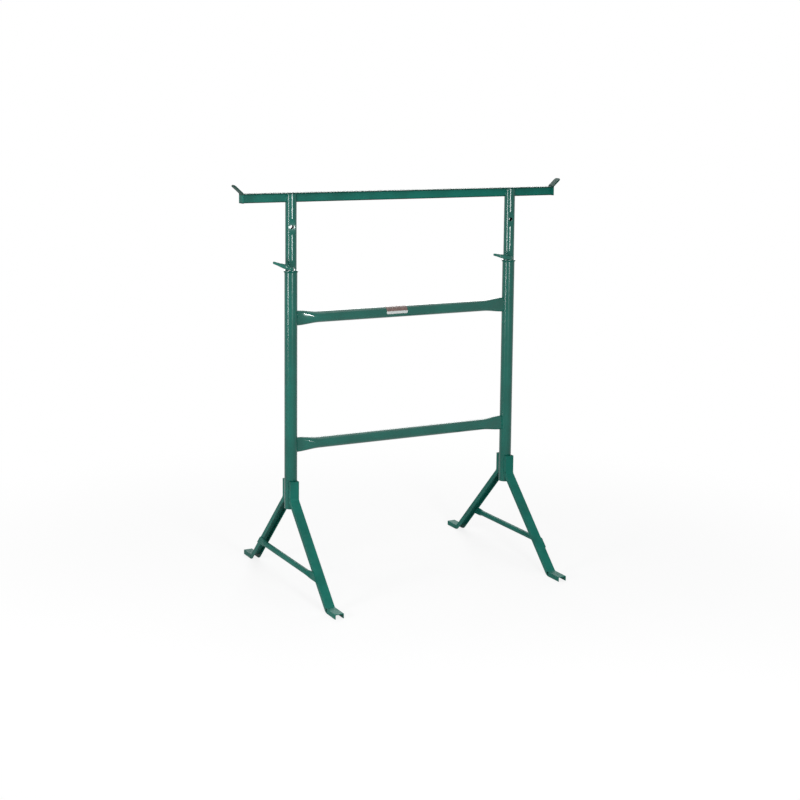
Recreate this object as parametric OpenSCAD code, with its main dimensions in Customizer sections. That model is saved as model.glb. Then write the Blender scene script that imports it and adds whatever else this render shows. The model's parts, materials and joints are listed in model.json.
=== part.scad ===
// Height-adjustable steel trestle with swivel feet (a folding sawhorse).
// A welded lower frame of two posts and two rails carries an upper frame, a T-section
// bearer on two telescoping tubes, which rests on two loose pins across the posts' tops.
// Each Y-shaped foot turns on a spigot inside its post, so that the trestle stores flat.
// Millimetres, +Z up, X along the bearer. The origin is on the floor, midway between the feet.

/* [Lower frame] */
// Distance between the two posts, centre to centre
post_spacing = 945; // [800:5:1100]
// Height of the posts' open tops, at the upper face of their collars
post_top_z = 1198; // [1060:2:1400]
// Outside diameter of the post and foot socket tubes
post_od = 48.3; // [44:0.1:52]
// Wall of the post and foot socket tubes
post_wall = 2.6; // [2:0.1:3.2]
// How far the collar stands out from the post
collar_lip = 3.8; // [2:0.2:5]
// Height of the collar
collar_h = 6; // [4:0.5:10]
// Outside diameter of the rail tubes where they are round
rail_od = 42.4; // [30:0.1:46]
// Wall of the rail tubes
rail_wall = 2; // [1.5:0.1:3]
// Thickness of a rail's pressed end
rail_flat_t = 17; // [5:0.25:20]
// Length over which a rail changes from its pressed end to round
rail_flare = 90; // [60:5:180]
// Drop from the posts' tops to the upper rail's centre line
upper_rail_drop = 180; // [120:1:260]
// Height of the lower rail's centre line above the swivel joint
lower_rail_rise = 133; // [60:1:240]

/* [Bearer] */
// Length of the T-section bearer
bearer_len = 1330; // [1200:5:1500]
// Width of the bearer's flange
bearer_w = 35; // [30:1:50]
// Height of the bearer's section
bearer_h = 35; // [30:1:50]
// Thickness of the bearer's flange and web
bearer_t = 4.5; // [4:0.25:6]
// Fillet between the bearer's flange and web
bearer_fillet = 4; // [2:0.5:6]
// Thickness of the end stops
stop_t = 5; // [4:0.5:8]
// Length of an end stop's upper limb, beyond its bend
stop_len = 41; // [25:1:80]
// Lean of an end stop's upper limb, from upright
stop_lean = 48; // [20:1:60]

/* [Telescoping tubes and pins] */
// Wall of the telescoping tubes
tube_wall = 2.6; // [2:0.1:3.2]
// Radial clearance between a telescoping tube and its post
slide_gap = 0.35; // [0.3:0.05:0.8]
// Distance between neighbouring pin holes
hole_pitch = 154; // [100:5:200]
// Number of pin holes in each telescoping tube
hole_count = 4; // [2:1:5]
// Which hole the pin sits in, counted from the top hole as 0
pinned_hole = 1; // [0:1:3]
// Distance from the bearer's lower edge down to the top hole
first_hole_drop = 90.5; // [60:0.5:150]
// Length of tube below the lowest hole
tube_tail = 240; // [100:5:280]
// Turn of the pin holes from square to the bearer, towards the left end
hole_turn = 12; // [0:1:30]
// Height of the dimple pressed into the tube around each pin hole
dimple_h = 60; // [40:1:80]
// Depth of the dimples
dimple_depth = 4.2; // [2:0.1:5]
// Diameter of the locking pins
pin_d = 14; // [10:0.5:16]
// Radial clearance between a pin and its holes
pin_gap = 0.5; // [0.3:0.1:1]
// How far a pin's plain end stands out of the tube
pin_nose = 1.5; // [0.5:0.5:8]
// Distance from the tube to the middle of the pin's bend
pin_neck = 17.5; // [17:0.5:30]
// Length of the pin's handle beyond the bend
pin_handle = 80; // [60:1:120]
// Largest diameter of the pin's handle, at its shoulder
pin_handle_d = 18; // [16:0.5:20]
// Diameter of the pin's handle before its rounded tip
pin_tip_d = 10; // [7:0.5:14]
// Diameter of the knuckle at the pin's bend
pin_knuckle_d = 15.5; // [15:0.1:16]
// Bend between a pin's bar and its handle
pin_bend = 90; // [80:1:100]
// Length over which a pin swells from its bar to its handle
shoulder_len = 16; // [8:1:24]
// How far the left pin's handle is turned up about its bar
left_handle_lift = 20; // [0:1:60]
// How far the right pin's handle is turned up about its bar
right_handle_lift = 13; // [0:1:60]

/* [Feet] */
// Height of the swivel joint, where a post stands on its foot socket
swivel_z = 405; // [350:1:460]
// Length of the foot socket tube
socket_len = 108; // [90:1:140]
// How far the spigot reaches up into the post
spigot_rise = 100; // [70:1:120]
// Radial clearance between the spigot and the post
swivel_gap = 0.35; // [0.3:0.05:0.8]
// Height of the swivel rivet above the swivel joint
rivet_rise = 50; // [35:1:60]
// Diameter of the swivel rivet
rivet_d = 8; // [6:0.5:10]
// How far each foot turns between open and stored
swivel_turn = 90; // [60:5:90]
// Width of the leg channels
channel_w = 35; // [30:1:40]
// Depth of the leg channels' flanges
channel_d = 18; // [14:0.5:24]
// Thickness of the leg channels
channel_t = 3; // [2:0.25:4]
// Radius of the legs' bends, on the web's face
channel_bend_r = 14; // [3:0.5:15]
// Drop from the swivel joint to the bend where a leg leaves its socket
leg_bend_drop = 70; // [55:1:90]
// Splay of the legs, from upright
leg_splay = 45; // [35:1:50]
// Length of the flat toe, along the floor
toe_len = 74; // [50:1:110]
// Outside diameter of the foot braces where they are round
brace_od = 21.3; // [16:0.1:27]
// Wall of the foot braces
brace_wall = 2; // [1.5:0.1:2.5]
// Thickness of a brace's pressed end
brace_flat_t = 4.4; // [4.2:0.1:7]
// Length over which a brace changes from its pressed end to round
brace_flare = 30; // [30:1:70]
// Height of the braces' centre line where they are round
brace_z = 105; // [90:1:130]

/* [Label] */
// Length of the blank label along the upper rail
label_len = 90; // [60:1:140]
// Angle of the rail that the label wraps
label_wrap = 120; // [60:5:160]
// Thickness of the label
label_t = 0.3; // [0.2:0.05:0.5]
// Distance of the label's middle from the middle of the rail, towards the right
label_x = -37; // [-150:1:150]

/* [Hidden] */
$fn = 64;
slit = 0.01;               // lets cuts run past the faces that they open
seat_gap = 0.3;            // between a resting face and its seat on another body
weld_gap = 0.1;            // root gap of a welded joint
post_x = post_spacing / 2;
post_r = post_od / 2;
bore_r = post_r - post_wall;
tube_r = bore_r - slide_gap;
spigot_r = bore_r - swivel_gap;
rail_len = post_spacing - 2 * (post_r + weld_gap);
upper_rail_z = post_top_z - upper_rail_drop;
lower_rail_z = swivel_z + lower_rail_rise;
hole_r = pin_d / 2 + pin_gap;
pin_z = post_top_z + seat_gap + pin_d / 2;
top_hole_z = pin_z + pinned_hole * hole_pitch;
bearer_foot_z = top_hole_z + first_hole_drop;
bearer_top_z = bearer_foot_z + bearer_h;
tube_top_z = bearer_top_z - bearer_t;
tube_foot_z = top_hole_z - (hole_count - 1) * hole_pitch - tube_tail;
post_foot_z = swivel_z + seat_gap;
rivet_z = post_foot_z + rivet_rise;
flange_y = sqrt(pow(post_r, 2) - pow(channel_w / 2 - channel_t, 2)) + weld_gap;
web_y = flange_y + channel_d;
leg_bend_z = swivel_z - leg_bend_drop;
toe_bend_y = web_y + (leg_bend_z - channel_d) * tan(leg_splay);
toe_tip_y = toe_bend_y + toe_len;
bend_steps = 8;
fillet_steps = 4;
flare_steps = 6;
skin_points = 24;
brace_x = channel_w / 2 + weld_gap + brace_flat_t / 2;
dimple_r = (pow(dimple_h / 2, 2) + pow(dimple_depth, 2)) / (2 * dimple_depth);
handle_steps = 6;          // steps round the pin handle's tip
pin_chamfer = 1;
joint_overlap = 3;         // how far one run of a solid reaches into the next run
slot_play = 0.75;          // between the swivel rivet and its slot, all round
socket_foot_in = 12;       // the spigot's foot above the socket's open lower end
paint = "#1f6b5c";

// ---- shapes that repeat ----

// A tube standing on z, open at both ends
module tube(outer_r, inner_r, z, h) {
    translate([0, 0, z])
    difference() {
        cylinder(r = outer_r, h = h);
        translate([0, 0, -slit]) cylinder(r = inner_r, h = h + 2 * slit);
    }
}

// Points on an arc in the plane, from angle a to angle b
function arc(centre, r, a, b, steps) =
    [for (i = [0 : steps]) centre + r * [cos(a + (b - a) * i / steps), sin(a + (b - a) * i / steps)]];

function backwards(items) = [for (i = [len(items) - 1 : -1 : 0]) items[i]];

// The height that a round tube reaches when it is pressed to a thickness
function squashed_height(od, t) = PI * (od - t) / 2 + t;

// Eases from 0 to 1 with no corner at either end
function ease(u) = u * u * (3 - 2 * u);

// One ring of a pressed tube in the plane x = along: two half rounds joined by flats, t thick.
// inset moves the ring inwards by the wall, lean shifts points along the tube by their height.
function squashed_ring(along, od, t, inset, lean) =
    let (n = skin_points / 2, half_flat = PI * (od - t) / 4, r = t / 2 - inset)
    [for (side = [0, 1], i = [0 : n - 1])
        let (a = side * 180 + (i + 0.5) * 180 / n,
             y = r * cos(a),
             z = (side == 0 ? half_flat : -half_flat) + r * sin(a))
        [along + lean * z, y, z]];

// A tube along x, round in the middle and pressed flat at both ends, open right through.
// stations lists, from end to end, the place, the thickness and the lean of each ring.
module squashed_tube(stations, od, wall) {
    rings = len(stations);
    n = skin_points;
    outer = [for (s = stations, p = squashed_ring(s[0], od, s[1], 0, s[2])) p];
    inner = [for (s = stations, p = squashed_ring(s[0], od, s[1], wall, s[2])) p];
    first_inner = rings * n;
    skin = [for (k = [0 : rings - 2], i = [0 : n - 1])
        let (j = (i + 1) % n) [k * n + i, k * n + j, (k + 1) * n + j, (k + 1) * n + i]];
    bore = [for (f = skin) [for (v = [3, 2, 1, 0]) f[v] + first_inner]];
    start = [for (i = [0 : n - 1]) let (j = (i + 1) % n) [i, i + first_inner, j + first_inner, j]];
    last = (rings - 1) * n;
    end = [for (f = start) [for (v = [3, 2, 1, 0]) f[v] + last]];
    quads = concat(skin, bore, start, end);
    polyhedron(points = concat(outer, inner),
               faces = [for (q = quads, tri = [[2, 1, 0], [3, 2, 0]]) [q[tri[0]], q[tri[1]], q[tri[2]]]]);
}

// Rings from one pressed end to the other: flat, flare, round, flare, flat
function squashed_stations(length, flat, flare, od, t, lean) =
    let (half = length / 2,
         swell = [for (i = [0 : flare_steps])
             [half - flat - flare * i / flare_steps, t + (od - t) * ease(i / flare_steps), 0]],
         one_end = flat > 0 ? concat([[half, t, -lean]], swell) : swell)
    concat([for (s = one_end) [-s[0], s[1], -s[2]]], backwards(one_end));

// ---- lower frame ----

module post(x) {
    color(paint)
    translate([x, 0, 0])
    difference() {
        tube(post_r, bore_r, post_foot_z, post_top_z - collar_h - post_foot_z);
        translate([0, 0, rivet_z]) rotate([-90, 0, 0]) cylinder(d = rivet_d, h = 2 * post_r);
    }
}

// The ring welded on the post's top, bevelled to a thin rim
module collar(x) {
    rim_h = collar_h / 2;
    color(paint)
    translate([x, 0, post_top_z - collar_h])
    rotate_extrude()
    polygon([[bore_r, 0], [post_r, 0], [post_r + collar_lip, collar_h - rim_h],
             [post_r + collar_lip, collar_h], [bore_r, collar_h]]);
}

module rail(z) {
    color(paint)
    translate([0, 0, z])
    squashed_tube(squashed_stations(rail_len, 0, rail_flare, rail_od, rail_flat_t, 0), rail_od, rail_wall);
}

// A button-headed rivet from the rear of the post into the spigot's slot
module swivel_rivet(x) {
    head_r = 0.9 * rivet_d;
    head_h = 0.45 * rivet_d;
    head_edge = 0.6;
    head_y = post_r + head_edge;
    inner_stub = 1;
    shank_in = spigot_r - tube_wall - inner_stub;
    color(paint)
    translate([x, 0, rivet_z])
    rotate([-90, 0, 0])
    rotate_extrude()
    polygon(concat([[0, shank_in], [rivet_d / 2, shank_in], [rivet_d / 2, post_r], [head_r, post_r]],
                   [for (i = [0 : bend_steps])
                       [head_r * cos(90 * i / bend_steps), head_y + head_h * sin(90 * i / bend_steps)]]));
}

// A plain sticker wrapped over the front and top of the upper rail
module label() {
    wrap_from = -15;
    inner_r = rail_od / 2 + 0.05;
    color("#8a4a48")
    translate([label_x - label_len / 2, 0, upper_rail_z])
    rotate([90, 0, 90])
    rotate([0, 0, 180 - wrap_from - label_wrap])
    rotate_extrude(angle = label_wrap)
    translate([inner_r, 0]) square([label_t, label_len]);
}

// ---- upper frame ----

module bearer() {
    root = bearer_fillet;
    half_web = bearer_t / 2;
    under = -bearer_t;
    right_fillet = arc([half_web + root, under - root], root, 90, 180, fillet_steps);
    right_side = concat([[bearer_w / 2, 0], [bearer_w / 2, under]], right_fillet, [[half_web, -bearer_h]]);
    left_side = [for (p = backwards(right_side)) [-p[0], p[1]]];
    color(paint)
    translate([-bearer_len / 2, 0, bearer_top_z])
    rotate([90, 0, 90])
    linear_extrude(height = bearer_len)
    polygon(concat(right_side, left_side));
}

// A flat bar welded on the bearer's end, its upper limb bent outwards. x runs outwards from that end.
module stop_bar() {
    r = stop_t;
    centre = [stop_t + r, bearer_h - r * tan(stop_lean / 2)];
    limb = [sin(stop_lean), cos(stop_lean)];
    near_edge = arc(centre, r + stop_t, 180, 180 - stop_lean, bend_steps);
    far_edge = arc(centre, r, 180 - stop_lean, 180, bend_steps);
    limb_start = near_edge[bend_steps];
    corner_r = bearer_w / 4;
    flat_len = stop_len - corner_r;
    rotate([90, 0, 0])
    linear_extrude(height = bearer_w, center = true)
    polygon(concat([[0, 0]], near_edge, [limb_start + limb * flat_len, far_edge[0] + limb * flat_len],
                   far_edge, [[stop_t, 0]]));
    // the limb's end, with its two corners rounded
    translate([limb_start[0], 0, limb_start[1]])
    rotate([0, stop_lean, 0])
    translate([0, 0, flat_len])
    rotate([90, 0, 90])
    linear_extrude(height = stop_t)
    polygon(concat([[-bearer_w / 2, -joint_overlap], [bearer_w / 2, -joint_overlap]],
                   arc([bearer_w / 2 - corner_r, 0], corner_r, 0, 90, bend_steps),
                   arc([-bearer_w / 2 + corner_r, 0], corner_r, 90, 180, bend_steps)));
}

module end_stop(side) {
    color(paint)
    translate([side * bearer_len / 2, 0, bearer_foot_z])
    mirror([side < 0 ? 1 : 0, 0, 0])
    translate([weld_gap, 0, 0])
    stop_bar();
}

// Places what follows at each pin hole, with y along the hole
module at_each_hole() {
    for (i = [0 : hole_count - 1])
        translate([0, 0, top_hole_z - i * hole_pitch])
        rotate([0, 0, -hole_turn])
        children();
}

// The rollers that press a dimple into the front and the back of the tube at each hole
module dimple_rollers(r) {
    at_each_hole()
        for (side = [-1, 1])
            translate([0, side * (tube_r - dimple_depth + dimple_r), 0])
            rotate([0, 90, 0])
            cylinder(r = r, h = 3 * tube_r, center = true);
}

// A telescoping tube, slotted over the bearer's web, dimpled and drilled for the pins
module inner_tube(x) {
    slot_w = bearer_t + 2 * weld_gap;
    color(paint)
    translate([x, 0, 0])
    difference() {
        translate([0, 0, tube_foot_z]) cylinder(r = tube_r, h = tube_top_z - tube_foot_z);
        dimple_rollers(dimple_r);
        difference() {
            translate([0, 0, tube_foot_z - slit])
            cylinder(r = tube_r - tube_wall, h = tube_top_z - tube_foot_z + 2 * slit);
            dimple_rollers(dimple_r + tube_wall);
        }
        at_each_hole() rotate([-90, 0, 0]) cylinder(r = hole_r, h = 4 * tube_r, center = true);
        translate([-2 * tube_r, -slot_w / 2, bearer_foot_z - weld_gap])
        cube([4 * tube_r, slot_w, bearer_h]);
        // room for the fillets under the flange
        for (side = [-1, 1])
            translate([0, side * (slot_w / 2), tube_top_z])
            rotate([45, 0, 0])
            cube([4 * tube_r, bearer_fillet * 1.2, bearer_fillet * 1.2], center = true);
    }
}

// ---- locking pins ----

// A round bar through the tube, with its plain end at the rear. In front of the tube it turns at
// a knuckle into a handle, which swells to a shoulder and tapers to a rounded tip. lift turns the
// handle up about the bar.
module locking_pin(x, lift) {
    r = pin_d / 2;
    bar_len = 2 * tube_r + pin_nose + pin_neck;
    tip_r = pin_tip_d / 2;
    color(paint)
    translate([x, 0, pin_z])
    rotate([0, 0, -hole_turn])
    rotate([0, lift, 0]) {
        translate([0, tube_r + pin_nose, 0])
        rotate([90, 0, 0])
        rotate_extrude()
        polygon([[0, 0], [r - pin_chamfer, 0], [r, pin_chamfer], [r, bar_len], [0, bar_len]]);
        translate([0, -tube_r - pin_neck, 0]) {
            sphere(r = pin_knuckle_d / 2);
            rotate([0, 0, -pin_bend])
            rotate([90, 0, 0])
            rotate_extrude()
            polygon(concat([[0, 0], [r, 0], [pin_handle_d / 2, shoulder_len]],
                           [for (i = [0 : handle_steps])
                               [tip_r * cos(90 * i / handle_steps),
                                pin_handle - tip_r + tip_r * sin(90 * i / handle_steps)]]));
        }
    }
}

// ---- feet ----

module foot_socket(x) {
    color(paint)
    translate([x, 0, 0])
    tube(post_r, bore_r, swivel_z - socket_len, socket_len);
}

// The spigot stands in the socket and reaches up into the post. Its slot lets the rivet pass
// through swivel_turn; turn is +1 or -1 for the way that the foot is stored.
module foot_spigot(x, turn) {
    foot_z = swivel_z - socket_len + socket_foot_in;
    slot_h = rivet_d + 2 * slot_play;
    spare = asin((rivet_d / 2 + slot_play) / spigot_r);
    from = turn > 0 ? 90 - swivel_turn : 90;
    color(paint)
    translate([x, 0, 0])
    difference() {
        tube(spigot_r, spigot_r - tube_wall, foot_z, post_foot_z + spigot_rise - foot_z);
        translate([0, 0, rivet_z - slot_h / 2])
        rotate([0, 0, from - spare])
        rotate_extrude(angle = swivel_turn + 2 * spare)
        translate([spigot_r - 2 * tube_wall, 0]) square([3 * tube_wall, slot_h]);
    }
}

// A line along the leg's side view, inset from the web's outer face: down the socket,
// round the bend, down the slope, round the toe bend and out to the toe's tip.
function leg_line(inset) =
    let (s = leg_splay, r = channel_bend_r,
         upper = [web_y + r, leg_bend_z + r * tan(s / 2)],
         lower = [toe_bend_y + r * tan((90 - s) / 2), channel_d + r])
    concat([[web_y - inset, swivel_z]],
           arc(upper, r + inset, 180, 180 + s, bend_steps),
           arc(lower, r + inset, 180 + s, 270, bend_steps),
           [[toe_tip_y, channel_d - inset]]);

// A strip of the leg between two insets, width wide across the leg from x
module leg_strip(from, to, x, width) {
    translate([x, 0, 0])
    rotate([90, 0, 90])
    linear_extrude(height = width)
    polygon(concat(leg_line(from), backwards(leg_line(to))));
}

// side is -1 for the front leg and +1 for the rear leg
module leg(x, side) {
    color(paint)
    translate([x, 0, 0])
    mirror([0, side < 0 ? 1 : 0, 0]) {
        leg_strip(0, channel_t, -channel_w / 2, channel_w);
        leg_strip(0, channel_d, -channel_w / 2, channel_t);
        leg_strip(0, channel_d, channel_w / 2 - channel_t, channel_t);
    }
}

// A tube with pressed ends on the outer side of a foot, its ends cut in line with the legs' webs
module foot_brace(x, side) {
    slope = tan(leg_splay);
    web_y_here = toe_bend_y - (brace_z - channel_d) * slope;
    edge_in = 2;
    length = 2 * (web_y_here - edge_in);
    flat = channel_d / cos(leg_splay) + squashed_height(brace_od, brace_flat_t) * slope / 2;
    color(paint)
    translate([x + side * brace_x, 0, brace_z])
    rotate([0, 0, 90])
    squashed_tube(squashed_stations(length, flat, brace_flare, brace_od, brace_flat_t, slope),
                  brace_od, brace_wall);
}

post(-post_x);  // post_left
post(post_x);  // post_right
collar(-post_x);  // collar_left
collar(post_x);  // collar_right
rail(upper_rail_z);  // upper_rail
rail(lower_rail_z);  // lower_rail
swivel_rivet(-post_x);  // swivel_rivet_left
swivel_rivet(post_x);  // swivel_rivet_right
label();
bearer();
end_stop(-1);  // end_stop_left
end_stop(1);  // end_stop_right
inner_tube(-post_x);  // inner_tube_left
inner_tube(post_x);  // inner_tube_right
locking_pin(-post_x, left_handle_lift);  // locking_pin_left
locking_pin(post_x, right_handle_lift);  // locking_pin_right
foot_socket(-post_x);  // foot_socket_left
foot_socket(post_x);  // foot_socket_right
foot_spigot(-post_x, -1);  // foot_spigot_left
foot_spigot(post_x, 1);  // foot_spigot_right
leg(-post_x, -1);  // front_leg_left
leg(post_x, -1);  // front_leg_right
leg(-post_x, 1);  // rear_leg_left
leg(post_x, 1);  // rear_leg_right
foot_brace(-post_x, -1);  // foot_brace_left
foot_brace(post_x, 1);  // foot_brace_right
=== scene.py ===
# %% [markdown]
# # A height-adjustable steel trestle in glossy green enamel
#
# The trestle arrives as a fixed frame of exact solids, already at its real size and in metres.
# This lesson dresses it. Most solids keep their shape and only get a finish, because a sawn tube
# or a folded channel is already right. Four things are modelled here: the rails and braces, whose
# pressed ends need smooth skins, the weld beads that hold it all together, the locking pins, which
# need a real bend, and the label.

# %% Load the frame
import json
import math

import bmesh
import bpy
from mathutils import Matrix, Vector, noise

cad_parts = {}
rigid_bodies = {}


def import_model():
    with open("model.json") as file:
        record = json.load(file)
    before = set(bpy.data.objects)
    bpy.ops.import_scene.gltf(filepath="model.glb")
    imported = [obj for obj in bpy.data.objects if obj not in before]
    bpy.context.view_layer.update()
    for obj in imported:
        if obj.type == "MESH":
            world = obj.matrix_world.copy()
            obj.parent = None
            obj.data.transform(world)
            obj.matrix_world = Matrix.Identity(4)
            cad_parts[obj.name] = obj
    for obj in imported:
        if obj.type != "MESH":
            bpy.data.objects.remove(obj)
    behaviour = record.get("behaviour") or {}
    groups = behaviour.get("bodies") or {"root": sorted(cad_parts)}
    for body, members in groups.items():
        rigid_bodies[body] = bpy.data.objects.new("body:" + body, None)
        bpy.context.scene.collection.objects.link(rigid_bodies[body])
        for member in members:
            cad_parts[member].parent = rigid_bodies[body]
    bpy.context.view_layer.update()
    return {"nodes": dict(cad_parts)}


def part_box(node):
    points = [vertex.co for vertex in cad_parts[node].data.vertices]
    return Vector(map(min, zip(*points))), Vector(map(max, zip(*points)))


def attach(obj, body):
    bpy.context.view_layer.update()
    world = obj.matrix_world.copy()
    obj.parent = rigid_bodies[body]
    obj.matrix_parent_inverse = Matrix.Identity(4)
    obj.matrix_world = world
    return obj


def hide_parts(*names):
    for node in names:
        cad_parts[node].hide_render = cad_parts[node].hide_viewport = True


for leftover in list(bpy.data.objects):
    bpy.data.objects.remove(leftover)

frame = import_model()
NODES = frame["nodes"]

# %% [markdown]
# ## Measuring instead of remembering
#
# A dressed part goes wrong when its script remembers sizes that the solids no longer have. So the
# places below are measured from the solids' boxes: a tube's axis is the middle of its box, and its
# radius is half the box's width. A box can't give every size, such as how long a pressed end is.
# Those few are written where they are first used, and the rails, braces and pins made from them
# are compared with their solids.

# %% Read the main sizes from the solids
MILLIMETRE = 0.001
SIDES = {"left": -1, "right": 1}


def middle(node):
    low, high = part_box(node)
    return (low + high) / 2


def size(node):
    low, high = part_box(node)
    return high - low


def levels(node):
    low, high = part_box(node)
    return low.z, high.z


POST_X = {side: middle(f"post_{side}").x for side in SIDES}
POST_R = size("post_left").x / 2
TUBE_R = size("inner_tube_left").x / 2
CHANNEL_W = size("front_leg_left").x
SOCKET_FOOT, SOCKET_TOP = levels("foot_socket_left")
COLLAR_FOOT, COLLAR_TOP = levels("collar_left")
BEARER_FOOT, BEARER_TOP = levels("bearer")
print(f"posts at {POST_X['left']:.4f} and {POST_X['right']:.4f} m,",
      f"radius {POST_R / MILLIMETRE:.2f} mm")

# %% [markdown]
# ## Shader maths as plain expressions
#
# Node trees are hard to read as a web of links. The small class below wraps one output socket and
# lets Python's own operators add the Math nodes, so a mask can be written as `1 - dust * 0.5`. The
# reflected forms, such as `__rsub__`, are what make a number on the left side work too. Colours
# don't go through a Math node, because it would turn them grey. They go through `mix_colour`.


# %% A socket that does arithmetic
class Wire:
    def __init__(self, paint, socket):
        self.paint = paint
        self.socket = socket

    def _math(self, operation, first, second):
        return self.paint.maths(operation, first, second)

    def __add__(self, other):
        return self._math("ADD", self, other)

    def __radd__(self, other):
        return self._math("ADD", other, self)

    def __sub__(self, other):
        return self._math("SUBTRACT", self, other)

    def __rsub__(self, other):
        return self._math("SUBTRACT", other, self)

    def __mul__(self, other):
        return self._math("MULTIPLY", self, other)

    def __rmul__(self, other):
        return self._math("MULTIPLY", other, self)

    def clamp(self):
        """The same value, held between 0 and 1."""
        result = self._math("ADD", self, 0.0)
        result.socket.node.use_clamp = True
        return result


print("sockets can be added, subtracted and multiplied")

# %% [markdown]
# A material is then a short recipe, and so is the world's light. One method, `node`, makes any
# other kind of node: its type first, then its settings, and last the values or wires that feed its
# sockets. Three kinds get a method of their own, because several of their sockets share one name:
# Math, and the mixes of two colours and of two shaders.


# %% A node tree that can be written as a recipe
class Paint:
    def __init__(self, owner):
        """owner is a material or the world."""
        owner.use_nodes = True
        self.owner = owner
        self.tree = owner.node_tree
        self.tree.nodes.clear()

    def feed(self, socket, value):
        if isinstance(value, Wire):
            self.tree.links.new(value.socket, socket)
        else:
            socket.default_value = value

    def node(self, kind, settings=None, out=0, **sockets):
        made = self.tree.nodes.new("ShaderNode" + kind)
        for name, value in (settings or {}).items():
            setattr(made, name, value)
        for name, value in sockets.items():
            self.feed(made.inputs[name.replace("_", " ")], value)
        return Wire(self, made.outputs[out])

    def maths(self, operation, first, second=None):
        made = self.tree.nodes.new("ShaderNodeMath")
        made.operation = operation
        self.feed(made.inputs[0], first)
        if second is not None:
            self.feed(made.inputs[1], second)
        return Wire(self, made.outputs[0])

    def place(self):
        return self.node("TexCoord", out="Object")

    def axes(self, vector):
        split = self.node("SeparateXYZ", Vector=vector)
        outputs = split.socket.node.outputs
        return [Wire(self, outputs[letter]) for letter in "XYZ"]

    def blotches(self, scale, detail=4.0, roughness=0.5):
        return self.node("TexNoise", Vector=self.place(), Scale=scale, Detail=detail,
                         Roughness=roughness)

    def step(self, wire, low, high):
        """0 below the low value, 1 above the high one, and a smooth rise between them."""
        return self.node("MapRange", {"interpolation_type": "SMOOTHSTEP"}, Value=wire,
                         From_Min=low, From_Max=high, To_Min=0.0, To_Max=1.0)

    def mix_colour(self, factor, first, second):
        made = self.tree.nodes.new("ShaderNodeMix")
        made.data_type = "RGBA"
        self.feed(made.inputs["Factor"], factor)
        colours = [socket for socket in made.inputs if socket.type == "RGBA"]
        self.feed(colours[0], first)
        self.feed(colours[1], second)
        result = next(socket for socket in made.outputs if socket.type == "RGBA")
        return Wire(self, result)

    def mix_shader(self, factor, first, second):
        made = self.tree.nodes.new("ShaderNodeMixShader")
        for socket, value in zip(made.inputs, (factor, first, second)):
            self.feed(socket, value)
        return Wire(self, made.outputs[0])

    def bump(self, height, distance):
        return self.node("Bump", Height=height, Distance=distance, Strength=1.0)

    def show(self, shader, output="OutputMaterial"):
        """Sends a shader to the tree's output, and returns the finished material or world."""
        end = self.tree.nodes.new("ShaderNode" + output)
        self.feed(end.inputs["Surface"], shader)
        return self.owner


def colour(code):
    """A #rrggbb colour as the linear values that a shader works in."""
    channels = [int(code[i:i + 2], 16) / 255 for i in (1, 3, 5)]
    linear = [c / 12.92 if c <= 0.04045 else ((c + 0.055) / 1.055) ** 2.4 for c in channels]
    return (*linear, 1.0)


print("the grey #808080 is", round(colour("#808080")[0], 3), "to a shader")

# %% [markdown]
# ## Green enamel
#
# The real frame is dipped or sprayed in a glossy enamel over steel. Three things tell the eye that
# it is paint and not plastic: a faint orange-peel ripple under the gloss, a film that lies thinner
# on some stretches than on others, and a little dust on the surfaces that face up. A painted image
# could hold all that, but it would need seams and would fit one shape alone. So each is worked out
# from the place in space. The base colour carries the film and the dust, and the ripple is a very
# shallow bump, well under a tenth of a millimetre. Up-facing surfaces are found from the surface's
# own normal.
#
# Along the bearer, the lower edge and the band round the flange are painted darker: two rims of
# painted shade, drawn there by height, that stand in for the dark lines shade lays along those
# edges.

# %% Name the colours and the grain of the enamel
ENAMEL = colour("#126256")
ENAMEL_TUBE = colour("#0f594e")
ENAMEL_DEEP = colour("#0c4a41")
# a near-black green, used as painted shade along the bearer's lower edge and flange
ENAMEL_RIM_SHADE = colour("#05271f")
DUST = colour("#7d9a92")
STEEL = colour("#6e706c")

# how fine each pattern is, as waves in a metre
FILM_GRAIN, GRIME_GRAIN, SCUFF_GRAIN = 9.0, 38.0, 160.0
PEEL_FINE, PEEL_COARSE = 620.0, 150.0
# where each mask rises from 0 to 1, in its pattern or in how far a surface faces up
FILM_RISE, GRIME_RISE, SCUFF_RISE = (0.35, 0.7), (0.42, 0.78), (0.72, 0.76)
FACES_UP = (0.35, 1.0)
# how strongly each mask acts on the colour, the bump or the roughness
FILM_SHARE, RIM_SHADE_SHARE, PEEL_COARSE_SHARE = 0.55, 0.8, 0.6
DUST_DULLS, GRIME_DULLS, SCUFF_DULLS = 0.9, 0.05, 0.3
# heights over the section's foot and below its top between which the rims of painted shade fade
RIM_SHADE_AT_FOOT = (2.5 * MILLIMETRE, 4.5 * MILLIMETRE)
RIM_SHADE_AT_FLANGE = (6.5 * MILLIMETRE, 4.0 * MILLIMETRE)
print("the film varies every", round(1000 / FILM_GRAIN), "mm and the peel every",
      round(1000 / PEEL_FINE, 1), "mm")


# %% Write the enamel's recipe
def up_facing(paint):
    normal = paint.node("NewGeometry", out="Normal")
    return paint.axes(normal)[2]


def painted_rim_shade(paint, low, high):
    """1 at the lower edge and round the flange of a section that reaches from low to high, where
    shade is painted.
    """
    height = paint.axes(paint.place())[2]
    clear_of_foot = paint.step(height, low + RIM_SHADE_AT_FOOT[0], low + RIM_SHADE_AT_FOOT[1])
    at_flange = paint.step(height, high - RIM_SHADE_AT_FLANGE[0], high - RIM_SHADE_AT_FLANGE[1])
    return ((1.0 - clear_of_foot) + at_flange).clamp()


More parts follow.
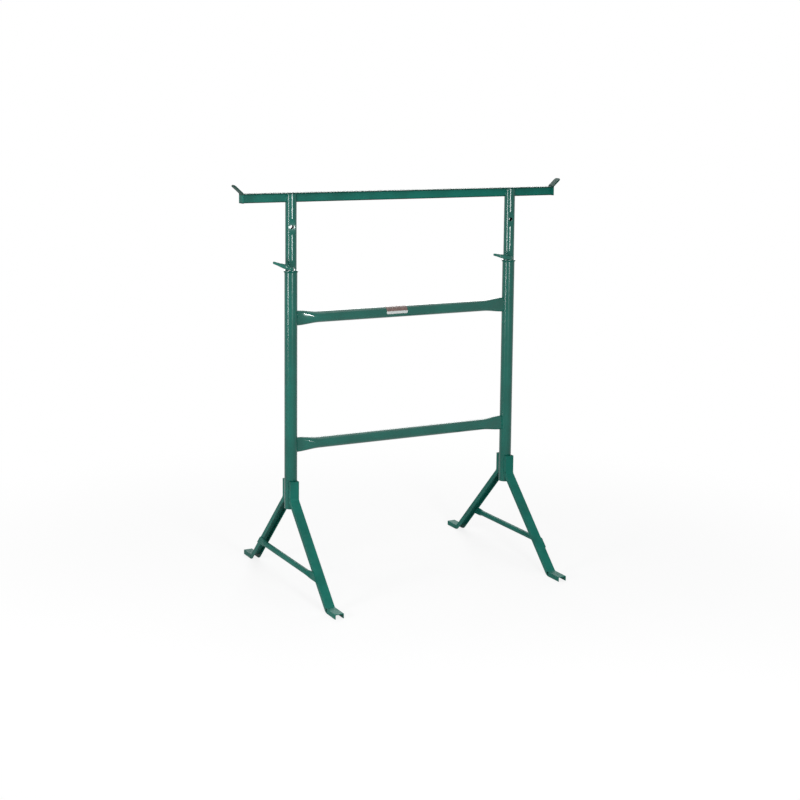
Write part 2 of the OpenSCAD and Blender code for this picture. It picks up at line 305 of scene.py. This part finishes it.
def enamel(name, ripple, roughness, dust, worn=0.0, shine=0.17, shaded_rims=None, tone=ENAMEL):
    """Green enamel. ripple is the peel's depth in millimetres, worn is how far scuffs spread, and
    shine is how strongly the gloss mirrors."""
    paint = Paint(bpy.data.materials.new(name))
    film = paint.step(paint.blotches(FILM_GRAIN), *FILM_RISE)
    body = paint.mix_colour(film * FILM_SHARE, tone, ENAMEL_DEEP)
    grime = paint.step(paint.blotches(GRIME_GRAIN, 6.0, 0.65), *GRIME_RISE)
    settled = paint.step(up_facing(paint), *FACES_UP) * grime * dust
    coat = paint.mix_colour(settled, body, DUST)
    # painted shade: the enamel turns near black at the bearer's lower edge and round its flange
    if shaded_rims:
        coat = paint.mix_colour(painted_rim_shade(paint, *shaded_rims) * RIM_SHADE_SHARE, coat, ENAMEL_RIM_SHADE)
    gloss = roughness + settled * DUST_DULLS + grime * GRIME_DULLS
    if worn:
        scuffed = paint.blotches(SCUFF_GRAIN, 8.0, 0.7)
        scuffs = paint.step(scuffed, SCUFF_RISE[0] - worn, SCUFF_RISE[1] - worn)
        coat = paint.mix_colour(scuffs, coat, STEEL)
        gloss = gloss + scuffs * SCUFF_DULLS
    peel = paint.blotches(PEEL_FINE, 2.0) + paint.blotches(PEEL_COARSE, 1.0) * PEEL_COARSE_SHARE
    normal = paint.bump(peel, ripple * MILLIMETRE)
    return paint.show(paint.node("BsdfPrincipled", Base_Color=coat, Roughness=gloss.clamp(),
                                 Normal=normal, Specular_IOR_Level=shine))


print("the enamel's recipe takes a ripple, a roughness, dust, wear, shine and a tone")

# %% [markdown]
# ## One enamel, six finishes
#
# One pot of paint doesn't dry alike everywhere. On a drawn tube it lies smooth and glossy, and a
# shade deeper. The rails have the sharpest gloss, which shows as a glint where their ends are
# pressed. On the bearer and the folded legs the film is duller, and the legs and the pins are
# scuffed here and there. Each finish is the same recipe with other numbers, so the greens stay one
# family.

# %% Mix the finishes
tube_enamel = enamel("tube_enamel", ripple=0.002, roughness=0.18, dust=0.05, shine=0.28,
                     tone=ENAMEL_TUBE)
rail_enamel = enamel("rail_enamel", ripple=0.004, roughness=0.1, dust=0.05, shine=0.34,
                     tone=ENAMEL_TUBE)
# the section finish carries rims of painted shade at the bearer's lower edge and flange
section_enamel = enamel("section_enamel", ripple=0.006, roughness=0.48, dust=0.05, shine=0.12,
                        shaded_rims=(BEARER_FOOT, BEARER_TOP))
leg_enamel = enamel("leg_enamel", ripple=0.03, roughness=0.48, dust=0.07, worn=0.02, shine=0.12)
pin_enamel = enamel("pin_enamel", ripple=0.03, roughness=0.16, dust=0.08, worn=0.05, shine=0.32)
weld_enamel = enamel("weld_enamel", ripple=0.05, roughness=0.2, dust=0.1)
print("mixed", len([m for m in bpy.data.materials if "enamel" in m.name]), "enamels")

# %% Paint the solids that keep their shape
FINISH = {
    tube_enamel: ["post", "inner_tube", "collar", "foot_socket", "foot_spigot", "swivel_rivet"],
    section_enamel: ["bearer", "end_stop"],
    leg_enamel: ["front_leg", "rear_leg"],
}
painted = 0
for material, kinds in FINISH.items():
    for node_name, solid in NODES.items():
        if any(node_name.startswith(kind) for kind in kinds):
            solid.data.materials.clear()
            solid.data.materials.append(material)
            painted += 1
print("painted", painted, "solids")

# %% [markdown]
# ## Soft edges on the sections
#
# No rolled section has a perfectly sharp corner, and it is the rounded edge that catches the light
# in a line. The solids could be given such edges, but that would cost them many small faces. A
# Bevel modifier adds them here without touching the solid's own mesh. The solids come with their
# faces unjoined, so a Weld modifier goes first: an edge must be shared before it can be rounded.

# %% Round the edges of channels, bearer and stops
SECTION_EDGE = 0.9 * MILLIMETRE
EDGE_FACES = 2
JOIN_WITHIN = 0.01 * MILLIMETRE
SHARP = math.radians(35)


def round_edges(solid):
    weld = solid.modifiers.new("join_faces", "WELD")
    weld.merge_threshold = JOIN_WITHIN
    bevel = solid.modifiers.new("round_edges", "BEVEL")
    bevel.width = SECTION_EDGE
    bevel.segments = EDGE_FACES
    bevel.limit_method = "ANGLE"
    bevel.angle_limit = SHARP
    bevel.harden_normals = True


for node_name, solid in NODES.items():
    if node_name.startswith(("bearer", "end_stop", "front_leg", "rear_leg")):
        round_edges(solid)
print("rounded the section edges by", SECTION_EDGE / MILLIMETRE, "mm")

# %% [markdown]
# ## Rails and braces with pressed ends
#
# A round tube is squeezed flat at each end in a press, which keeps the length of its outline the
# same: what it loses in thickness it gains in height. So one rule gives every cross-section. The
# flat part's length follows from the round tube's circumference, and the two ends stay half round.
# A few outlines under a subdivision surface could do it too, but would shrink away from the solid.
# So the skin is lofted through many exact outlines. A brace's flat stretch has the same outline all
# along and needs just two.


# %% Outline of a pressed tube
def half_flat_of(outer_d, thickness):
    """Half the length of the flat sides, from the outline's unchanged length."""
    return math.pi * (outer_d - thickness) / 4


def pressed_outline(outer_d, thickness, count, inset):
    """One outline of a tube pressed to a thickness, as (across, up) pairs."""
    half_flat = half_flat_of(outer_d, thickness)
    r = thickness / 2 - inset
    points = []
    half = count // 2
    for turn in (0, 1):
        centre = half_flat if turn == 0 else -half_flat
        for i in range(half):
            angle = math.pi * (turn + (i + 0.5) / half)
            points.append((r * math.cos(angle), centre + r * math.sin(angle)))
    return points


def ease(u):
    return u * u * (3 - 2 * u)


def pressed_stations(half_length, flat, flare, outer_d, thickness, lean, steps=18):
    """(place, thickness, lean) from one end of the tube to the other."""
    one_end = [(half_length, thickness, -lean)] if flat else []
    for i in range(steps + 1):
        swell = thickness + (outer_d - thickness) * ease(i / steps)
        one_end.append((half_length - flat - flare * i / steps, swell, 0.0))
    return [(-s, t, -k) for s, t, k in one_end] + one_end[::-1]


RAIL_D, RAIL_FLAT_T = 42.4 * MILLIMETRE, 17.0 * MILLIMETRE
pressed_height = 2 * half_flat_of(RAIL_D, RAIL_FLAT_T) + RAIL_FLAT_T
print(f"a rail pressed to {RAIL_FLAT_T / MILLIMETRE:.0f} mm",
      f"stands {pressed_height / MILLIMETRE:.1f} mm high")

# %% [markdown]
# The loft joins each outline to the next with a band of four-sided faces, once for the outside and
# once, turned inside out, for the bore. A last ring of faces closes the tube's wall at each mouth.


# %% Loft a skin and dress a piece
SMOOTH_UP_TO = math.radians(40)


def finish_mesh(name, mesh, smooth=True):
    data = bpy.data.meshes.new(name)
    mesh.to_mesh(data)
    mesh.free()
    piece = bpy.data.objects.new(name, data)
    bpy.context.scene.collection.objects.link(piece)
    if smooth:
        data.shade_smooth()
        data.set_sharp_from_angle(angle=SMOOTH_UP_TO)
    return piece


def loft(name, stations, outer_d, wall, place, count=48):
    """Outer and inner skins, joined round the open mouths. place() puts a point in the frame."""
    mesh = bmesh.new()
    skins = []
    for inset in (0.0, wall):
        rings = []
        for along, thickness, lean in stations:
            outline = pressed_outline(outer_d, thickness, count, inset)
            rings.append([mesh.verts.new(place(along + lean * up, across, up))
                          for across, up in outline])
        skins.append(rings)
    for rings, flip in ((skins[0], False), (skins[1], True)):
        for a, b in zip(rings, rings[1:]):
            for i in range(count):
                j = (i + 1) % count
                corners = [a[i], a[j], b[j], b[i]]
                mesh.faces.new(corners[::-1] if flip else corners)
    for end in (0, -1):
        outer, inner = skins[0][end], skins[1][end]
        for i in range(count):
            j = (i + 1) % count
            mesh.faces.new([outer[i], outer[j], inner[j], inner[i]])
    bmesh.ops.recalc_face_normals(mesh, faces=mesh.faces)
    return finish_mesh(name, mesh)


def dress(piece, body, material):
    piece.data.materials.append(material)
    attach(piece, body)
    return piece


def skin_gap(piece, node):
    """Largest difference between the box of a piece and the box of its solid, in millimetres."""
    corners = [v.co for v in piece.data.vertices]
    gaps = []
    for axis in range(3):
        gaps.append(abs(min(c[axis] for c in corners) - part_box(node)[0][axis]))
        gaps.append(abs(max(c[axis] for c in corners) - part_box(node)[1][axis]))
    return round(max(gaps) / MILLIMETRE, 2)


print("skins are smooth up to", round(math.degrees(SMOOTH_UP_TO)), "degrees between faces")

# %% [markdown]
# The rails are 42.4 mm tube, pressed to 17 mm at their ends. The foot braces are 21.3 mm tube,
# pressed to 4.4 mm. A brace's flat end is also cut at the slope of the leg that it meets. After
# each skin is made, its box is compared with its solid's, so a wrong size would show in the printed
# difference.

# %% Make the rails and braces
TUBE_WALL = 2.0 * MILLIMETRE
RAIL_FLARE = 90.0 * MILLIMETRE
BRACE_D, BRACE_FLAT_T = 21.3 * MILLIMETRE, 4.4 * MILLIMETRE
BRACE_FLARE = 30.0 * MILLIMETRE
BRACE_FLAT = 40.9 * MILLIMETRE
LEG_SLOPE = 1.0


def pressed_piece(node, body, along_axis, flat, flare, outer_d, flat_t, lean, finish):
    centre = middle(node)
    extent = size(node)
    half = extent[along_axis] / 2 - abs(lean) * extent.z / 2

    def place(along, across, up):
        if along_axis == 0:
            return centre + Vector((along, across, up))
        return centre + Vector((-across, along, up))

    stations = pressed_stations(half, flat, flare, outer_d, flat_t, lean)
    piece = loft(node + "_skin", stations, outer_d, TUBE_WALL, place)
    print(node, "skin and solid differ by at most", skin_gap(piece, node), "mm")
    dress(piece, body, finish)
    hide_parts(node)


for level in ("upper", "lower"):
    pressed_piece(f"{level}_rail", "lower_frame", 0, 0.0, RAIL_FLARE,
                  RAIL_D, RAIL_FLAT_T, 0.0, rail_enamel)
for side in SIDES:
    pressed_piece(f"foot_brace_{side}", f"foot_{side}", 1, BRACE_FLAT, BRACE_FLARE,
                  BRACE_D, BRACE_FLAT_T, LEG_SLOPE, leg_enamel)
print("lofted the rails and braces")

# %% [markdown]
# ## Weld beads
#
# Every joint on this frame is a hand-made fillet weld, painted over. A bump in the paint could hint
# at it, but it would leave no bead in the mesh. A weld is a row of overlapping puddles, so the bead
# is swept along its path as a round bar, half sunk in the joint, whose size swells and shrinks with
# each puddle, and wanders a little, because a hand does. The noise is a fixed function of place, so
# the bead comes out the same each time.

# %% Sweep a bead along a path
PUDDLE = 3.4 * MILLIMETRE
POINTS_PER_PUDDLE = 3
LEAST_SIZE, PUDDLE_SWELL, HAND_SWELL = 0.86, 0.16, 0.14
HAND_GRAIN = 260.0
END_SIZE, END_POINTS = 0.35, 4


def resample(path, step):
    points = [path[0].copy()]
    for a, b in zip(path, path[1:]):
        count = max(1, round((b - a).length / step))
        points += [a.lerp(b, i / count) for i in range(1, count + 1)]
    return points


def bead_size(point, travelled, to_end):
    """Size of the bead as a share of its radius. to_end is None on a bead that is a closed ring."""
    puddle = 0.5 + 0.5 * math.cos(math.tau * travelled / PUDDLE)
    share = LEAST_SIZE + PUDDLE_SWELL * puddle + HAND_SWELL * noise.noise(point * HAND_GRAIN)
    if to_end is not None:
        share *= min(1.0, END_SIZE + (1 - END_SIZE) * to_end / END_POINTS)
    return share


def join_rings(mesh, a, b):
    """Faces between two rings that may start at different angles, so b is matched to a first."""
    sides = len(a)
    shift = min(range(sides), key=lambda s: (a[0].co - b[s].co).length)
    same_way = (a[1].co - b[(shift + 1) % sides].co).length < (a[1].co - b[shift - 1].co).length
    turn = 1 if same_way else -1
    for k in range(sides):
        mesh.faces.new([a[k], a[(k + 1) % sides], b[(shift + turn * (k + 1)) % sides],
                        b[(shift + turn * k) % sides]])


def bead(name, path, body, radius, closed=False, sides=10):
    points = resample([Vector(p) for p in path], PUDDLE / POINTS_PER_PUDDLE)
    if closed and (points[0] - points[-1]).length < JOIN_WITHIN:
        points.pop()
    mesh = bmesh.new()
    rings = []
    last = len(points) - 1
    travelled = 0.0
    for i, point in enumerate(points):
        before = points[i - 1] if i or closed else point
        after = points[(i + 1) % len(points)] if i < last or closed else point
        forward = (after - before).normalized()
        across = forward.orthogonal().normalized()
        other = forward.cross(across)
        travelled += (point - before).length
        r = radius * bead_size(point, travelled, None if closed else min(i, last - i))
        angles = [math.tau * k / sides for k in range(sides)]
        rings.append([mesh.verts.new(point + r * (math.cos(a) * across + math.sin(a) * other))
                      for a in angles])
    for a, b in zip(rings, rings[1:]):
        join_rings(mesh, a, b)
    if closed:
        join_rings(mesh, rings[-1], rings[0])
    else:
        mesh.faces.new(rings[0])
        mesh.faces.new(rings[-1])
    bmesh.ops.recalc_face_normals(mesh, faces=mesh.faces)
    return dress(finish_mesh(name, mesh), body, weld_enamel)


print("a bead has a puddle every", PUDDLE / MILLIMETRE, "mm")

# %% [markdown]
# Each kind of joint gets the bead that its shape asks for: a ring under each collar, two upright
# lines where a channel's edges meet its socket, and an upright run in front of and behind each
# pressed rail end. Where a telescoping tube is slotted over the bearer's web, a run goes at each
# edge of the tube, on both sides of the web. The braces' flat ends and the end stops get no beads.

# %% Beads for the collars and the sockets
FACES = {"front": -1, "rear": 1}
RING_STEPS = 72
COLLAR_BEAD, OFF_POST, UNDER_COLLAR = 1.8 * MILLIMETRE, 0.5 * MILLIMETRE, 0.6 * MILLIMETRE
SOCKET_BEAD, OFF_CHANNEL, OFF_SOCKET = 1.4 * MILLIMETRE, 0.2 * MILLIMETRE, 1.0 * MILLIMETRE
BELOW_SOCKET_TOP, ABOVE_SOCKET_FOOT = 4 * MILLIMETRE, 40 * MILLIMETRE


def upright(x, y, start, stop):
    """A straight upright path from one height to another."""
    return [Vector((x, y, start)), Vector((x, y, stop))]


def weld_collar(side):
    radius = POST_R + OFF_POST
    angles = [math.tau * i / RING_STEPS for i in range(RING_STEPS + 1)]
    ring = [Vector((POST_X[side] + radius * math.cos(a), radius * math.sin(a),
                    COLLAR_FOOT - UNDER_COLLAR)) for a in angles]
    bead(f"collar_weld_{side}", ring, "lower_frame", COLLAR_BEAD, closed=True)


def weld_socket(side, sign):
    x = CHANNEL_W / 2 + OFF_CHANNEL
    y = math.sqrt(POST_R ** 2 - (CHANNEL_W / 2) ** 2) + OFF_SOCKET
    top, foot = SOCKET_TOP - BELOW_SOCKET_TOP, SOCKET_FOOT + ABOVE_SOCKET_FOOT
    for face, way in FACES.items():
        for edge in (-1, 1):
            hand = "in" if edge == -sign else "out"
            line = upright(POST_X[side] + edge * x, way * y, top, foot)
            bead(f"socket_weld_{side}_{face}_{hand}", line, f"foot_{side}", SOCKET_BEAD)


print(f"a collar's bead is {2 * COLLAR_BEAD / MILLIMETRE:.1f} mm thick,",
      f"a socket's {2 * SOCKET_BEAD / MILLIMETRE:.1f} mm")

# %% Beads for the rails and the bearer
RAIL_BEAD, OFF_RAIL, INTO_POST = 1.9 * MILLIMETRE, 0.9 * MILLIMETRE, 0.4 * MILLIMETRE
RAIL_BEAD_SHORT = 2 * MILLIMETRE
BEARER_BEAD, OFF_WEB, INTO_TUBE = 2.2 * MILLIMETRE, 2.9 * MILLIMETRE, 0.5 * MILLIMETRE
ABOVE_BEARER_FOOT, BELOW_BEARER_TOP = 2 * MILLIMETRE, 9 * MILLIMETRE


def weld_rail(level, side, sign):
    low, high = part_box(f"{level}_rail")
    rail_end = high.x if sign > 0 else low.x
    y = RAIL_FLAT_T / 2 + OFF_RAIL
    post_falls_back = POST_R - math.sqrt(POST_R ** 2 - y ** 2)
    x = rail_end + sign * (post_falls_back - INTO_POST)
    for face, way in FACES.items():
        line = upright(x, way * y, low.z + RAIL_BEAD_SHORT, high.z - RAIL_BEAD_SHORT)
        bead(f"{level}_rail_weld_{side}_{face}", line, "lower_frame", RAIL_BEAD)


def weld_bearer(side):
    x = TUBE_R - INTO_TUBE
    foot, top = BEARER_FOOT + ABOVE_BEARER_FOOT, BEARER_TOP - BELOW_BEARER_TOP
    for face, way in FACES.items():
        for edge, hand in SIDES.items():
            line = upright(POST_X[side] + hand * x, way * OFF_WEB, foot, top)
            bead(f"bearer_weld_{side}_{face}_{edge}", line, "top_frame", BEARER_BEAD)


print(f"a rail's bead is {2 * RAIL_BEAD / MILLIMETRE:.1f} mm thick,",
      f"the bearer's {2 * BEARER_BEAD / MILLIMETRE:.1f} mm")

# %% Weld the frame
for side, sign in SIDES.items():
    weld_collar(side)
    weld_socket(side, sign)
    for level in ("upper", "lower"):
        weld_rail(level, side, sign)
    weld_bearer(side)

# %% [markdown]
# ## Locking pins
#
# A locking pin starts as a round bar that is heated and bent, so it swells a little in the bend,
# widens to a shoulder and narrows to the tip. A solid knuckle stands for that bend in the frame. A
# curve with a round bevel could replace it, but a curve's thickness is hard to place along a bar.
# So the pin is swept along its centre line as a mesh, round a real bend radius, with a radius at
# each place.

# %% Name the pin's sizes
PIN_R = 7.0 * MILLIMETRE
BEND_R = 13.0 * MILLIMETRE
BEND_SWELL = 0.06
PIN_NECK = 17.5 * MILLIMETRE
PIN_NOSE = 1.5 * MILLIMETRE
PIN_CHAMFER = 1.0 * MILLIMETRE
HANDLE_LENGTH = 80 * MILLIMETRE
SHOULDER_R, SHOULDER_RUN = 9.0 * MILLIMETRE, 14 * MILLIMETRE
TIP_R = 5.0 * MILLIMETRE
BEND_STEPS, SHOULDER_STEPS, TAPER_STEPS, TIP_STEPS = 12, 6, 12, 8
HOLE_TURN = math.radians(12)
HANDLE_LIFT = {"left": math.radians(20), "right": math.radians(13)}
SEAT_GAP = 0.3 * MILLIMETRE
print(f"a {2 * PIN_R / MILLIMETRE:.0f} mm pin, bent round {BEND_R / MILLIMETRE:.0f} mm")


# %% Lay out the pin's centre line
def bar_and_bend(front):
    """The straight bar, from its chamfered rear end, and a quarter turn into the handle."""
    rear = TUBE_R + PIN_NOSE
    stations = [(Vector((0, rear, 0)), PIN_R - PIN_CHAMFER)]
    stations += [(Vector((0, y, 0)), PIN_R) for y in (rear - PIN_CHAMFER, 0.0, front + BEND_R)]
    for i in range(1, BEND_STEPS + 1):
        turn = math.pi / 2 * i / BEND_STEPS
        spot = Vector((-BEND_R * (1 - math.cos(turn)), front + BEND_R * (1 - math.sin(turn)), 0))
        stations.append((spot, PIN_R * (1 + BEND_SWELL * math.sin(2 * turn))))
    return stations


def handle(front):
    """The handle: out to its shoulder, down its taper and round its tip."""
    shoulder, tip = BEND_R + SHOULDER_RUN, HANDLE_LENGTH - TIP_R
    stations = []
    for i in range(1, SHOULDER_STEPS + 1):
        u = i / SHOULDER_STEPS
        spot = Vector((-BEND_R - u * SHOULDER_RUN, front, 0))
        stations.append((spot, PIN_R + (SHOULDER_R - PIN_R) * ease(u)))
    for i in range(1, TAPER_STEPS + 1):
        u = i / TAPER_STEPS
        spot = Vector((-shoulder - u * (tip - shoulder), front, 0))
        stations.append((spot, SHOULDER_R + (TIP_R - SHOULDER_R) * ease(u)))
    for i in range(1, TIP_STEPS + 1):
        # the 0.2 keeps the last ring just short of the tip, so that it still has a size
        a = math.pi / 2 * i / (TIP_STEPS + 0.2)
        stations.append((Vector((-tip - TIP_R * math.sin(a), front, 0)), TIP_R * math.cos(a)))
    return stations


def pin_path():
    """Centre line and radius of a pin that lies flat, its bar along y and its handle along -x."""
    front = -TUBE_R - PIN_NECK
    return bar_and_bend(front) + handle(front)


print("the pin's centre line has", len(pin_path()), "places")


# %% Sweep the locking pins
def sweep(name, stations, sides=32):
    """A closed round bar along a path that doesn't twist, with a radius at each point."""
    mesh = bmesh.new()
    path = [point for point, radius in stations]
    rings = []
    for i, (point, radius) in enumerate(stations):
        before = path[max(i - 1, 0)]
        after = path[min(i + 1, len(path) - 1)]
        forward = (after - before).normalized()
        across = forward.cross(Vector((0.0, 0.0, 1.0))).normalized()
        up = across.cross(forward)
        rings.append([mesh.verts.new(point + radius * (math.cos(a) * across + math.sin(a) * up))
                      for a in (math.tau * k / sides for k in range(sides))])
    for a, b in zip(rings, rings[1:]):
        for k in range(sides):
            mesh.faces.new([a[k], a[(k + 1) % sides], b[(k + 1) % sides], b[k]])
    mesh.faces.new(rings[0])
    mesh.faces.new(rings[-1])
    bmesh.ops.recalc_face_normals(mesh, faces=mesh.faces)
    return finish_mesh(name, mesh)


for side in SIDES:
    seat = Vector((POST_X[side], 0.0, COLLAR_TOP + SEAT_GAP + PIN_R))
    turned = Matrix.Rotation(-HOLE_TURN, 4, "Z") @ Matrix.Rotation(HANDLE_LIFT[side], 4, "Y")
    pin = sweep(f"locking_pin_{side}_skin", pin_path())
    pin.data.transform(Matrix.Translation(seat) @ turned)
    dress(pin, f"pin_{side}", pin_enamel)
    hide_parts(f"locking_pin_{side}")
    print("swept the", side, "pin, box off by", skin_gap(pin, f"locking_pin_{side}"), "mm")

# %% [markdown]
# ## A blank label
#
# The label is a printed sticker wrapped over the rail. It is left without any wording: a muted
# brown band above a pale one. It could be painted on the rail, but a real film has a thickness and
# rounded corners. So it is a thin patch that hugs the tube, and its two bands are drawn by height,
# so they stay straight along it.

# %% Model the label
LABEL_LIFT = 0.15 * MILLIMETRE
LABEL_FILM = 0.12 * MILLIMETRE
LABEL_CORNER = 4 * MILLIMETRE
LABEL_FROM, LABEL_TO = math.radians(75), math.radians(195)
LABEL_GRID = (60, 36)
label_low, label_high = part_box("label")
label_length = label_high.x - label_low.x
rail_middle = middle("upper_rail")


def round_corner(u, v, length, wrap):
    """Pulls a point of the patch in, if it lies outside the rounded corner."""
    du = max(LABEL_CORNER - u, u - (length - LABEL_CORNER), 0.0)
    dv = max(LABEL_CORNER - v, v - (wrap - LABEL_CORNER), 0.0)
    reach = math.hypot(du, dv)
    if reach > LABEL_CORNER:
        u += (du - du * LABEL_CORNER / reach) * (1 if u < length / 2 else -1)
        v += (dv - dv * LABEL_CORNER / reach) * (1 if v < wrap / 2 else -1)
    return u, v


def label_patch():
    radius = RAIL_D / 2 + LABEL_LIFT
    wrap = (LABEL_TO - LABEL_FROM) * radius
    along, around = LABEL_GRID
    axis = Vector((label_low.x, rail_middle.y, rail_middle.z))
    mesh = bmesh.new()
    grid = {}
    for i in range(along + 1):
        for j in range(around + 1):
            u, v = round_corner(label_length * i / along, wrap * j / around, label_length, wrap)
            angle = LABEL_FROM + v / radius
            spot = Vector((u, radius * math.cos(angle), radius * math.sin(angle)))
            grid[i, j] = mesh.verts.new(axis + spot)
    for i in range(along):
        for j in range(around):
            mesh.faces.new([grid[i, j], grid[i + 1, j], grid[i + 1, j + 1], grid[i, j + 1]])
    bmesh.ops.recalc_face_normals(mesh, faces=mesh.faces)
    patch = finish_mesh("blank_label", mesh)
    skin = patch.modifiers.new("film", "SOLIDIFY")
    skin.thickness = LABEL_FILM
    skin.offset = -1.0
    return patch


print("the label is", round(label_length / MILLIMETRE), "mm long")

# %% Print the label
BAND_FROM, BAND_TO = 4.6 * MILLIMETRE, 5.4 * MILLIMETRE
BROWN, BROWN_FADED = colour("#5a4740"), colour("#897472")
BAND_PALE, BAND_PALE_FADED = colour("#bbbfbe"), colour("#b1c2bf")
FADE_GRAIN, WRINKLE_GRAIN = 55.0, 210.0
FADE_RISE = (0.3, 0.8)
WRINKLE = 0.05 * MILLIMETRE


def label_film():
    paint = Paint(bpy.data.materials.new("label_film"))
    height = paint.axes(paint.place())[2] - rail_middle.z
    band = paint.step(height, BAND_FROM, BAND_TO)
    fade = paint.step(paint.blotches(FADE_GRAIN), *FADE_RISE)
    brown = paint.mix_colour(fade * 0.6, BROWN, BROWN_FADED)
    pale = paint.mix_colour(fade * 0.4, BAND_PALE, BAND_PALE_FADED)
    printed = paint.mix_colour(band, pale, brown)
    wrinkles = paint.bump(paint.blotches(WRINKLE_GRAIN, 3.0), WRINKLE)
    return paint.show(paint.node("BsdfPrincipled", Base_Color=printed,
                                 Roughness=0.34 + fade * 0.12, Normal=wrinkles))


sticker = dress(label_patch(), "lower_frame", label_film())
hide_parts("label")
print("the label's bands meet", round((BAND_FROM + BAND_TO) / 2 / MILLIMETRE, 1),
      "mm above the rail's axis")

# %% [markdown]
# ## Background
#
# The background is plain white. A strong white world would do that, but it would also flood the
# paint with light. Light Path tells the kinds of ray apart, so the world is white only where it is
# seen directly, in a gloss or through glass, and stays dim for the rays that carry light.

# %% Set the world
WHITE = (1.0, 1.0, 1.0, 1.0)
DIM = 0.12


def seen_directly(paint):
    """1 for what the camera sees itself, or in a gloss or through glass."""
    seen = paint.node("LightPath", out="Is Camera Ray")
    for kind in ("Is Glossy Ray", "Is Transmission Ray"):
        seen = paint.maths("MAXIMUM", seen, paint.node("LightPath", out=kind))
    return seen


studio = Paint(bpy.data.worlds.new("studio"))
dim = studio.node("Background", Color=WHITE, Strength=DIM)
white = studio.node("Background", Color=WHITE, Strength=1.0)
backdrop = studio.mix_shader(seen_directly(studio), dim, white)
bpy.context.scene.world = studio.show(backdrop, output="OutputWorld")
print("the world is white to the eye and gives light at", DIM)

# %% [markdown]
# ## Floor
#
# The trestle stands on a plain pale floor. An ordinary matt floor would keep the shadow but look
# grey, and would throw much light up at the paint. So what is seen of the floor is mostly plain
# white, with a share of matt pale surface left in it that keeps the feet's soft shadow, and that
# share fades away further out. For the rays that carry light the floor is matt and darker, so less
# light comes from below, and the undersides stay deep.

# %% Lay the floor
FLOOR_SIZE = 60.0
FLOOR_DROP = 0.5 * MILLIMETRE
PALE, BOUNCE = (0.94, 0.94, 0.94, 1.0), (0.55, 0.55, 0.55, 1.0)
WHITE_NEAR, WHITE_FAR = 0.82, 1.0
NEAR, FAR = 0.7, 2.4


def floor_finish():
    paint = Paint(bpy.data.materials.new("pale_floor"))
    across, along, _ = paint.axes(paint.place())
    reach = paint.maths("SQRT", across * across + along * along)
    far_away = paint.step(reach, NEAR, FAR)
    seen = seen_directly(paint)
    matt = paint.node("BsdfPrincipled", Base_Color=paint.mix_colour(seen, BOUNCE, PALE),
                      Roughness=0.9, Specular_IOR_Level=0.0)
    plain_white = paint.node("Emission", Color=WHITE)
    white_share = seen * (WHITE_NEAR + (WHITE_FAR - WHITE_NEAR) * far_away)
    return paint.show(paint.mix_shader(white_share, matt, plain_white))


mesh = bmesh.new()
bmesh.ops.create_grid(mesh, x_segments=1, y_segments=1, size=FLOOR_SIZE / 2)
floor = finish_mesh("floor", mesh, smooth=False)
floor.location.z = -FLOOR_DROP
floor.data.materials.append(floor_finish())
print("the floor is", FLOOR_SIZE, "m wide")

# %% [markdown]
# ## Lamps
#
# Five lamps light the trestle at a level where a colour renders about as written. One big soft lamp
# would do for the colour, but gloss needs something to mirror. So two small bright ones, in front
# and at the left, draw the long bright lines down the tubes. The large key, the overhead and the
# rear lamp light the faces evenly.

# %% Hang the lamps
CENTRE = (0.0, 0.0, 0.75)


def lamp(name, place, aim, width, height, power):
    data = bpy.data.lights.new(name, "AREA")
    data.shape = "RECTANGLE"
    data.size = width
    data.size_y = height
    data.energy = power
    light = bpy.data.objects.new(name, data)
    light.location = place
    light.rotation_euler = (Vector(aim) - Vector(place)).to_track_quat("-Z", "Y").to_euler()
    bpy.context.scene.collection.objects.link(light)


lamp("front_strip", (-0.3, -3.5, 1.10), (-0.1, 0.0, 1.10), 0.6, 0.36, 68)
lamp("left_strip", (-3.3, -0.85, 0.95), (0.0, 0.0, 0.95), 0.7, 0.8, 48)
lamp("key", (-2.75, -3.05, 3.0), CENTRE, 2.6, 2.4, 60)
lamp("overhead", (0.3, 0.6, 4.4), (0.0, 0.0, 0.0), 3.5, 3.0, 55)
lamp("rear_fill", (1.9, 3.6, 2.6), CENTRE, 2.4, 2.0, 80)
print("hung", len(bpy.data.lights), "lamps")

# %% [markdown]
# ## The camera
#
# The camera stands to the left of the trestle's middle, a little above it, and looks slightly down.
# A small vertical shift keeps the uprights nearly parallel, as a camera with a rising front does.
# The lens could be shorter and the camera nearer, but then the near foot would look too large.

# %% Set the camera
SENSOR = 36
CAMERA_AT = (-2.6969, -5.0609, 1.8460)
CAMERA_YAW, CAMERA_DOWN, CAMERA_ROLL = 27.911, 7.038, 0.544
CAMERA_LENS = 1.8785 * SENSOR
CAMERA_SHIFT = -0.15

camera_data = bpy.data.cameras.new("camera")
camera_data.sensor_width = SENSOR
camera_data.lens = CAMERA_LENS
camera_data.shift_y = CAMERA_SHIFT
camera = bpy.data.objects.new("camera", camera_data)
bpy.context.scene.collection.objects.link(camera)
turn = (Matrix.Rotation(math.radians(-CAMERA_YAW), 4, "Z")
        @ Matrix.Rotation(math.radians(90 - CAMERA_DOWN), 4, "X")
        @ Matrix.Rotation(math.radians(CAMERA_ROLL), 4, "Z"))
camera.matrix_world = Matrix.Translation(CAMERA_AT) @ turn
bpy.context.scene.camera = camera
bpy.context.scene.view_settings.view_transform = "Standard"
print("camera", round(camera_data.lens, 1), "mm lens")

# %% [markdown]
# ## Finish
#
# The last cell brings the scene up to date.

# %% Finish
bpy.context.view_layer.update()
